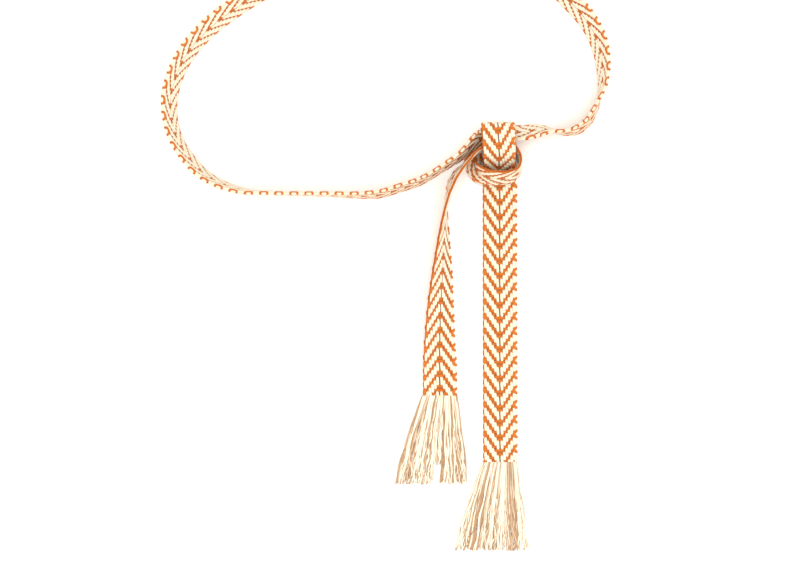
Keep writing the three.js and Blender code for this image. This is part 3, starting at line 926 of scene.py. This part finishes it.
def made_by_tree(name, tree, values):
    """Plain mesh object that the tree makes from the named values."""
    piece = bpy.data.objects.new(name, bpy.data.meshes.new(name))
    bpy.context.scene.collection.objects.link(piece)
    modifier = piece.modifiers.new(tree.name, "NODES")
    modifier.node_group = tree
    for socket in tree.interface.items_tree:
        if socket.item_type == "SOCKET" and socket.in_out == "INPUT":
            modifier[socket.identifier] = values[socket.name]
    graph = bpy.context.evaluated_depsgraph_get()
    mesh = bpy.data.meshes.new_from_object(piece.evaluated_get(graph), depsgraph=graph)
    piece.modifiers.clear()
    mesh.name = name
    piece.data = mesh
    if not mesh.polygons:
        raise RuntimeError(f"{name} came out empty")
    return piece


# Materials

# Weak shine of cotton, and height of its finest fuzz
COTTON_SPECULAR = 0.25
FUZZ_HEIGHT = 0.25 * MM

# Sockets of a colour mix, where three of them have the same name
MIX_SHARE = 0
MIX_FIRST = 6
MIX_SECOND = 7
MIX_RESULT = 2


def new_material(name, roughness, sheen):
    material = bpy.data.materials.new(name)
    material.use_nodes = True
    bench = NodeBench(material.node_tree)
    shader = material.node_tree.nodes["Principled BSDF"]
    shader.inputs["Roughness"].default_value = roughness
    shader.inputs["Sheen Weight"].default_value = sheen
    shader.inputs["Specular IOR Level"].default_value = COTTON_SPECULAR
    return material, bench, shader


def noise(bench, place, scale, detail=2.0):
    return bench.add("ShaderNodeTexNoise",
                     {"Vector": place, "Scale": scale, "Detail": detail}).outputs[0]


def object_place(bench):
    return bench.add("ShaderNodeTexCoord").outputs["Object"]


def falling(bench, value, start, end):
    """1 where the value is no more than the start, down to 0 where it is at the end."""
    return bench.add("ShaderNodeMapRange", {
        "Value": value, "From Min": start, "From Max": end, "To Min": 1.0,
        "To Max": 0.0}).outputs[0]


def changed_by(bench, tone, amount, value):
    """Value with an even noise added to it, which changes it by up to half the amount."""
    return bench.times_plus(bench.minus(tone, 0.5), amount, value)


def fibre_bump(bench, shader, height, strength):
    bump = bench.add("ShaderNodeBump", {"Height": height, "Strength": strength,
                                        "Distance": FUZZ_HEIGHT})
    bench.feed(shader.inputs["Normal"], bump.outputs[0])


def with_alpha(colour):
    return (*colour, 1.0)


def darker(colour, share):
    return tuple(channel * share for channel in colour)


def paint(bench, shader, share, first, second):
    """Base colour that goes from the first colour to the second as the share goes from 0 to 1."""
    mix = bench.add("ShaderNodeMix", {
        MIX_SHARE: share, MIX_FIRST: with_alpha(first), MIX_SECOND: with_alpha(second)},
        data_type="RGBA")
    bench.feed(shader.inputs["Base Color"], mix.outputs[MIX_RESULT])


# Spun yarn: height up to which it has its full colour of painted shade, lean of the plies, their
# height beside the fuzz and their painted shade, and change of tone.
SHADED_UP_TO = 0.15 * MM
PLY_LEAN = 0.35
PLY_HEIGHT = 0.5
PLY_SHADE = 0.08
YARN_TONE_CHANGE = 0.7


def yarn_material(name, light, shade_colour, plies_along, ply_pitch, full_height):
    """Soft spun yarn: fine plies, slow changes of tone, painted shade between the yarns where they
    lie low.
    """
    material, bench, shader = new_material(name, roughness=0.85, sheen=0.08)
    place = bench.add("ShaderNodeAttribute", attribute_name=WEAVE).outputs["Vector"]
    along, aside, out = bench.parts(place)
    line, slide = (aside, along) if plies_along else (along, aside)
    turned = bench.times_plus(slide, PLY_LEAN, line)
    plies = bench.math("SINE", bench.times(turned, 2 * math.pi / ply_pitch))
    fuzz = noise(bench, place, scale=2600.0)
    fibre_bump(bench, shader, bench.times_plus(plies, PLY_HEIGHT, fuzz), strength=0.55)
    # Painted shade: the yarn goes to its second colour where it lies low, near the middle of the
    # band.
    recess_shade = falling(bench, bench.math("ABSOLUTE", out), SHADED_UP_TO, full_height)
    shade = changed_by(bench, noise(bench, place, scale=260.0), YARN_TONE_CHANGE, recess_shade)
    shade = bench.times_plus(bench.minus(0.0, plies), PLY_SHADE, shade)
    paint(bench, shader, bench.as_share(shade), light, shade_colour)
    return material


# Loose strands: own tones up to which they are dark and from which they are light, change of tone
# along a strand, and painted shade on its steep sides.
DARK_UP_TO = 0.46
LIGHT_FROM = 0.66
STRAND_TONE_CHANGE = 0.6
STEEP_SHADE = 0.75


def strand_material(name, light, dark):
    """Loose plied yarn, each strand in its own tone between light and dark, with painted shade on
    its steep sides and on the lower strands.
    """
    material, bench, shader = new_material(name, roughness=0.88, sheen=0.08)
    own_tone = bench.add("ShaderNodeAttribute", attribute_name=SHADE).outputs["Fac"]
    place = object_place(bench)
    streaks = bench.vector("MULTIPLY", place, (1.0, 0.3, 0.0))
    fibre_bump(bench, shader, noise(bench, place, scale=2400.0), strength=0.5)
    low = falling(bench, own_tone, DARK_UP_TO, LIGHT_FROM)
    shade = changed_by(bench, noise(bench, streaks, scale=220.0, detail=1.0),
                       STRAND_TONE_CHANGE, low)
    # Painted shade: the steep sides of each strand are darker.
    facing = bench.add("ShaderNodeTexCoord").outputs["Normal"]
    steep = bench.at_most(bench.minus(1.0, bench.parts(facing)[2]), 1.0)
    shade = bench.times_plus(steep, STEEP_SHADE, shade)
    paint(bench, shader, bench.as_share(shade), light, dark)
    return material


def ground_material(name, colour):
    """Painted shade between the yarns: dark cloth with a random tone."""
    material, bench, shader = new_material(name, roughness=0.95, sheen=0.0)
    place = object_place(bench)
    tone = noise(bench, place, scale=900.0, detail=3.0)
    fibre_bump(bench, shader, tone, strength=0.4)
    paint(bench, shader, tone, colour, darker(colour, share=0.6))
    return material


def floor_material(name, colour):
    material, bench, shader = new_material(name, roughness=0.7, sheen=0.0)
    place = object_place(bench)
    paint(bench, shader, noise(bench, place, scale=6.0), colour, darker(colour, share=0.985))
    return material


# Pieces

def link_piece(name, mesh, material):
    piece = bpy.data.objects.new(name, mesh)
    bpy.context.scene.collection.objects.link(piece)
    mesh.materials.append(material)
    return piece


def ground_mesh(stations, width, thickness):
    """Thin closed ribbon in the middle of the band, which the yarns cover; it is a dark sheet of
    painted shade where it shows between them.
    """
    corners = ((1, 1), (0, 1), (-1, 1), (-1, -1), (0, -1), (1, -1))
    vertices = []
    faces = []
    for station in stations:
        reach = width * station["wide"] / 2
        for side, out in corners:
            vertices.append(station["middle"] + station["across"] * (side * reach)
                            + station["facing"] * (out * thickness / 2))
    size = len(corners)
    for ring in range(len(stations) - 1):
        for side in range(size):
            here = ring * size + side
            beside = ring * size + (side + 1) % size
            faces.append((here, beside, beside + size, here + size))
    end = (len(stations) - 1) * size
    faces.append(tuple(range(size - 1, -1, -1)))
    faces.append(tuple(end + side for side in range(size)))
    mesh = bpy.data.meshes.new("band_ground")
    mesh.from_pydata(vertices, [], faces)
    return mesh


def sizes_in_use():
    return bpy.context.scene.belt_sizes


def colours_in_use():
    return bpy.context.scene.belt_colours


def weave_inputs(sizes, path, stations):
    """Inputs that are the same for all the yarns of the weave."""
    return {"Path": path, "Cords": sizes.warp_cords, "Pitch": sizes.cord_pitch,
            "Middle Gap": sizes.middle_gap, "Chevrons": sizes.chevrons,
            "Pattern Start": sizes.pattern_start, **change_lengths(stations)}


def half_of_cords(sizes):
    """Distance from the middle of the band to the outer side of its last warp cord."""
    return sizes.warp_cords / 2 * sizes.cord_pitch + sizes.middle_gap / 2


class BELT_OT_ground(bpy.types.Operator):
    """Makes the dark ground of the band, painted shade between its yarns"""

    bl_idname = "belt.ground"
    bl_label = "Band Ground"

    def execute(self, context):
        sizes = sizes_in_use()
        stations = band_stations(sizes)
        mesh = ground_mesh(stations, sizes.band_width * GROUND_WIDTH,
                           sizes.band_thickness * GROUND_THICKNESS)
        material = ground_material("shaded_cotton", colours_in_use().ground)
        piece = link_piece("band_ground", mesh, material)
        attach(piece, "root")
        return {"FINISHED"}


class BELT_OT_warp(bpy.types.Operator):
    """Lays the cream cords along the band"""

    bl_idname = "belt.warp"
    bl_label = "Warp Cords"

    def execute(self, context):
        sizes = sizes_in_use()
        colours = colours_in_use()
        path, stations = band_path(sizes)
        plies = {"plies_along": True, "ply_pitch": sizes.cord_pitch / PLIES_PER_CORD,
                 "full_height": 1.0 * MM}
        material = yarn_material("cream_cotton", colours.cream, colours.cream_shaded, **plies)
        # Painted shade: the edge cord darkens to its shaded cream on its low sides.
        edge_material = yarn_material("edge_cotton", colours.cream, colours.edge_cream_shaded, **plies)
        tree = warp_tree()
        shared = {**weave_inputs(sizes, path, stations), "Seed": 3}
        cords = made_by_tree("warp_cords", tree, {
            **shared, "Material": material, "Place Aside": 0.0, "Width": sizes.cord_width,
            "Thickness": sizes.cord_thickness, "Lift": sizes.cord_lift,
            "Slant": sizes.cord_slant, "Steps": 10, "Sides": 6})
        edge = made_by_tree("edge_cord", tree, {
            **shared, **STRAIGHT_CORD, "Material": edge_material,
            "Place Aside": -(half_of_cords(sizes) + STRAIGHT_OUTSIDE),
            "Width": sizes.edge_cord, "Thickness": sizes.edge_cord * EDGE_CORD_FLATNESS})
        bpy.data.objects.remove(path)
        for piece in (cords, edge):
            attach(piece, "root")
        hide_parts("woven_band")
        return {"FINISHED"}


class BELT_OT_weft(bpy.types.Operator):
    """Lays the orange picks across the band"""

    bl_idname = "belt.weft"
    bl_label = "Weft Picks"

    def execute(self, context):
        sizes = sizes_in_use()
        colours = colours_in_use()
        path, stations = band_path(sizes)
        plies = {"plies_along": False, "ply_pitch": WEFT_PLY, "full_height": 0.85 * MM}
        # Painted shade: the picks darken to the shaded orange where they lie low.
        material = yarn_material("orange_cotton", colours.orange, colours.orange_shaded, **plies)
        # Painted shade: the hooks darken to four fifths of the orange where they lie low.
        hook_material = yarn_material("hook_cotton", colours.orange,
                                      darker(colours.orange, share=0.8), **plies)
        shared = {**weave_inputs(sizes, path, stations), "Material": material}
        half = half_of_cords(sizes)
        picks = made_by_tree("weft_picks", weft_tree(), {
            **shared, "Width": sizes.weft_width, "Thickness": sizes.weft_thickness,
            "Lift": sizes.weft_lift, "Steps": 37, "Sides": 5})
        hooks = made_by_tree("edge_hooks", hook_tree(), {
            **shared, "Material": hook_material, "Place Aside": half - HOOKS_INSIDE,
            "Width": sizes.hook_width, "Thickness": sizes.hook_width * HOOK_FLATNESS,
            "Depth": sizes.hook_depth, "Lift": 1.1 * MM, "Steps": 21, "Sides": 6, "Seed": 8})
        rim = made_by_tree("closed_edge_weft", warp_tree(), {
            **shared, **STRAIGHT_CORD, "Place Aside": half + STRAIGHT_OUTSIDE,
            "Width": sizes.rim_width, "Thickness": sizes.band_thickness * RIM_THICKNESS,
            "Seed": 4})
        bpy.data.objects.remove(path)
        for piece in (picks, hooks, rim):
            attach(piece, "root")
        return {"FINISHED"}


class BELT_OT_fringes(bpy.types.Operator):
    """Makes the loose strands at both ends of the band"""

    bl_idname = "belt.fringes"
    bl_label = "Fringes"

    def execute(self, context):
        sizes = sizes_in_use()
        colours = colours_in_use()
        material = strand_material("loose_cotton", colours.strand_light, colours.strand_dark_and_shaded)
        stations = band_stations(sizes)
        tree = fringe_tree()
        shared = {
            "Strands": sizes.fringe_strands, "Root Width": sizes.band_width * FRINGE_ROOT,
            "Length": sizes.fringe_length, "Thickness": sizes.strand_thickness,
            "Depth": sizes.band_thickness, "Wave": 1.8 * MM, "Steps": 36, "Sides": 5,
            "Material": material}
        ends = (
            ("short_fringe_strands", "short_end_fringe", stations[0],
             {"Tip Left": -37 * MM, "Tip Right": 22.5 * MM, "Locks": 9, "Gap Place": -2.6 * MM,
              "Gap Width": 3.8 * MM, "Gap Depth": 0.22, "Seed": 11}),
            ("long_fringe_strands", "long_end_fringe", stations[-1],
             {"Tip Left": -37 * MM, "Tip Right": 24 * MM, "Locks": 11, "Gap Place": 0.0,
              "Gap Width": 0.0, "Gap Depth": 0.0, "Seed": 29}),
        )
        for name, node, station, own in ends:
            root = Vector((station["middle"].x, station["middle"].y, 0.0))
            piece = made_by_tree(name, tree, {**shared, **own, "Root": root})
            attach(piece, "root")
            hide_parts(node)
        return {"FINISHED"}


class BELT_OT_cloth(bpy.types.Operator):
    bl_idname = "belt.cloth"
    bl_label = "Declare Cloth"

    def execute(self, context):
        sizes = sizes_in_use()
        length = band_length(band_stations(sizes))
        return {"FINISHED"}


class BELT_OT_stage(bpy.types.Operator):
    """Sets the pale floor, the soft light and the camera above"""

    bl_idname = "belt.stage"
    bl_label = "Stage"

    def execute(self, context):
        scene = context.scene
        settings = scene.belt_stage
        half = settings.floor_size / 2
        mesh = bpy.data.meshes.new("studio_floor")
        mesh.from_pydata([(-half, -half, 0), (half, -half, 0), (half, half, 0), (-half, half, 0)],
                         [], [(0, 1, 2, 3)])
        floor = link_piece("studio_floor", mesh,
                           floor_material("pale_floor", settings.floor_colour))

        world = bpy.data.worlds.new("pale_room")
        world.use_nodes = True
        background = world.node_tree.nodes["Background"]
        background.inputs["Color"].default_value = with_alpha(settings.room_colour)
        background.inputs["Strength"].default_value = settings.room_light
        scene.world = world

        lamp = bpy.data.lights.new("soft_light", "AREA")
        lamp.shape = "DISK"
        lamp.size = LIGHT_SIZE
        lamp.energy = settings.soft_light
        light = bpy.data.objects.new("soft_light", lamp)
        light.location = LIGHT_PLACE
        aim = Vector(LIGHT_AIM) - light.location
        light.rotation_euler = aim.to_track_quat("-Z", "Y").to_euler()
        scene.collection.objects.link(light)

        lens = bpy.data.cameras.new("camera")
        lens.lens = settings.camera_lens
        lens.sensor_width = SENSOR_WIDTH
        lens.clip_start = NEAREST_SEEN
        camera = bpy.data.objects.new("camera", lens)
        camera.location = (settings.camera_aside, settings.camera_back, settings.camera_height)
        scene.collection.objects.link(camera)
        scene.camera = camera
        scene.view_settings.view_transform = "Standard"
        return {"FINISHED"}


class BELT_PT_panel(bpy.types.Panel):
    """Sizes, colours and pieces of the belt"""

    bl_idname = "BELT_PT_panel"
    bl_label = "Woven Tassel Belt"
    bl_space_type = "VIEW_3D"
    bl_region_type = "UI"
    bl_category = "Belt"

    def draw(self, context):
        for group in (context.scene.belt_sizes, context.scene.belt_colours,
                      context.scene.belt_stage):
            box = self.layout.box()
            for name in group.__annotations__:
                box.prop(group, name)
        for operator in OPERATORS:
            self.layout.operator(operator.bl_idname)


GROUPS = (BeltSizes, BeltColours, StageSettings)
OPERATORS = (BELT_OT_stage, BELT_OT_ground, BELT_OT_warp, BELT_OT_weft, BELT_OT_fringes,
             BELT_OT_cloth)


def register():
    for item in (*GROUPS, *OPERATORS, BELT_PT_panel):
        bpy.utils.register_class(item)
    bpy.types.Scene.belt_sizes = bpy.props.PointerProperty(type=BeltSizes)
    bpy.types.Scene.belt_colours = bpy.props.PointerProperty(type=BeltColours)
    bpy.types.Scene.belt_stage = bpy.props.PointerProperty(type=StageSettings)


def unregister():
    del bpy.types.Scene.belt_stage
    del bpy.types.Scene.belt_colours
    del bpy.types.Scene.belt_sizes
    for item in reversed((*GROUPS, *OPERATORS, BELT_PT_panel)):
        bpy.utils.unregister_class(item)


def main():
    register()
    bpy.ops.belt.stage()
    bpy.ops.belt.ground()
    bpy.ops.belt.warp()
    bpy.ops.belt.weft()
    bpy.ops.belt.fringes()
    bpy.ops.belt.cloth()


if __name__ == "__main__":
    main()
